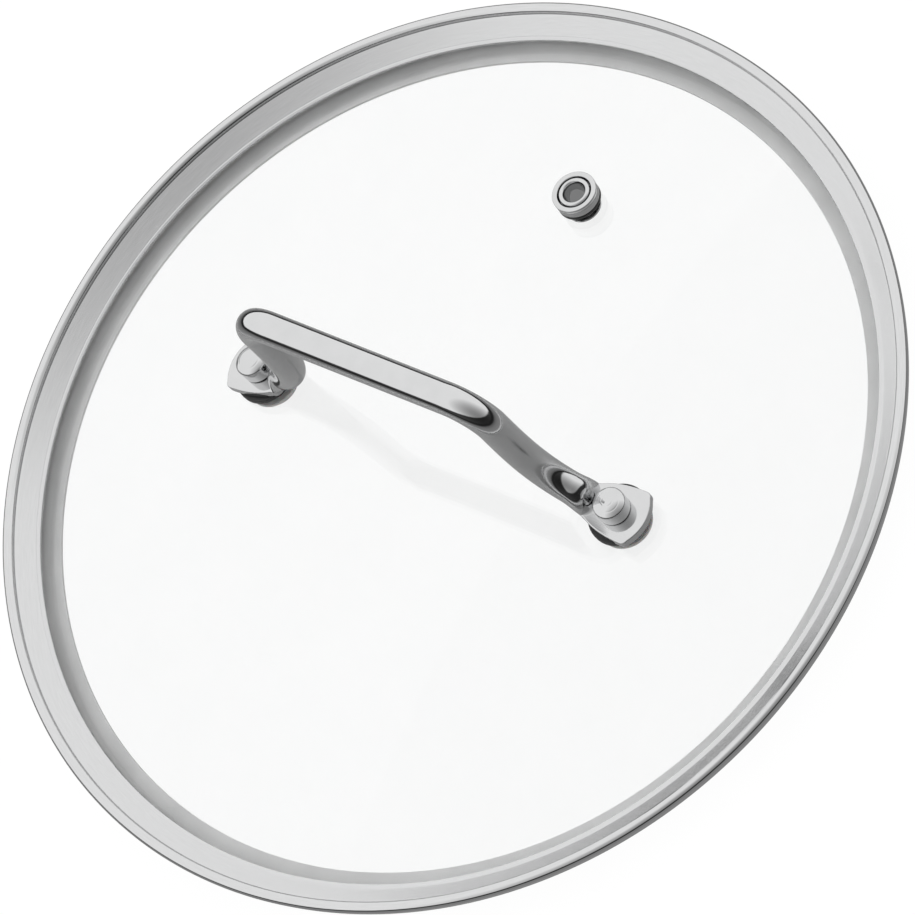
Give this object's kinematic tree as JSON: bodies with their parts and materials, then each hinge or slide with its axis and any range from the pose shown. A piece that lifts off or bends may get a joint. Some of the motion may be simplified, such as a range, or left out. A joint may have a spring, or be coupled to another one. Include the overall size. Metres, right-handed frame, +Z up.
{
  "type": "glass pan lid",
  "caption": "Domed clear glass pan lid with a rolled steel rim, a bent steel rod handle and a round steam vent.",
  "frame": {"origin": "centre of the rim's flat foot, on the plane that the lid rests on", "axes": "+Z up through the dome, +X along the handle, +Y from the centre to the steam vent"},
  "size_m": [0.26, 0.26, 0.0697],
  "materials": {
    "clear_glass": "clear tempered",
    "satin_steel": "satin, brushed around the rim",
    "polished_steel": "polished",
    "black_silicone": "matt",
    "pale_silicone": "satin, slightly translucent"
  },
  "bodies": {
    "root": {"glass_dome": "clear_glass", "rim_band": "satin_steel", "handle": "polished_steel", "dome_nut_a": "polished_steel", "dome_nut_b": "polished_steel", "upper_gasket_a": "black_silicone", "upper_gasket_b": "black_silicone", "lower_gasket_a": "pale_silicone", "lower_gasket_b": "pale_silicone", "lower_washer_a": "satin_steel", "lower_washer_b": "satin_steel", "screw_a": "satin_steel", "screw_b": "satin_steel", "vent_collar": "polished_steel", "vent_eyelet": "polished_steel", "vent_upper_gasket": "black_silicone"}
  },
  "joints": []
}
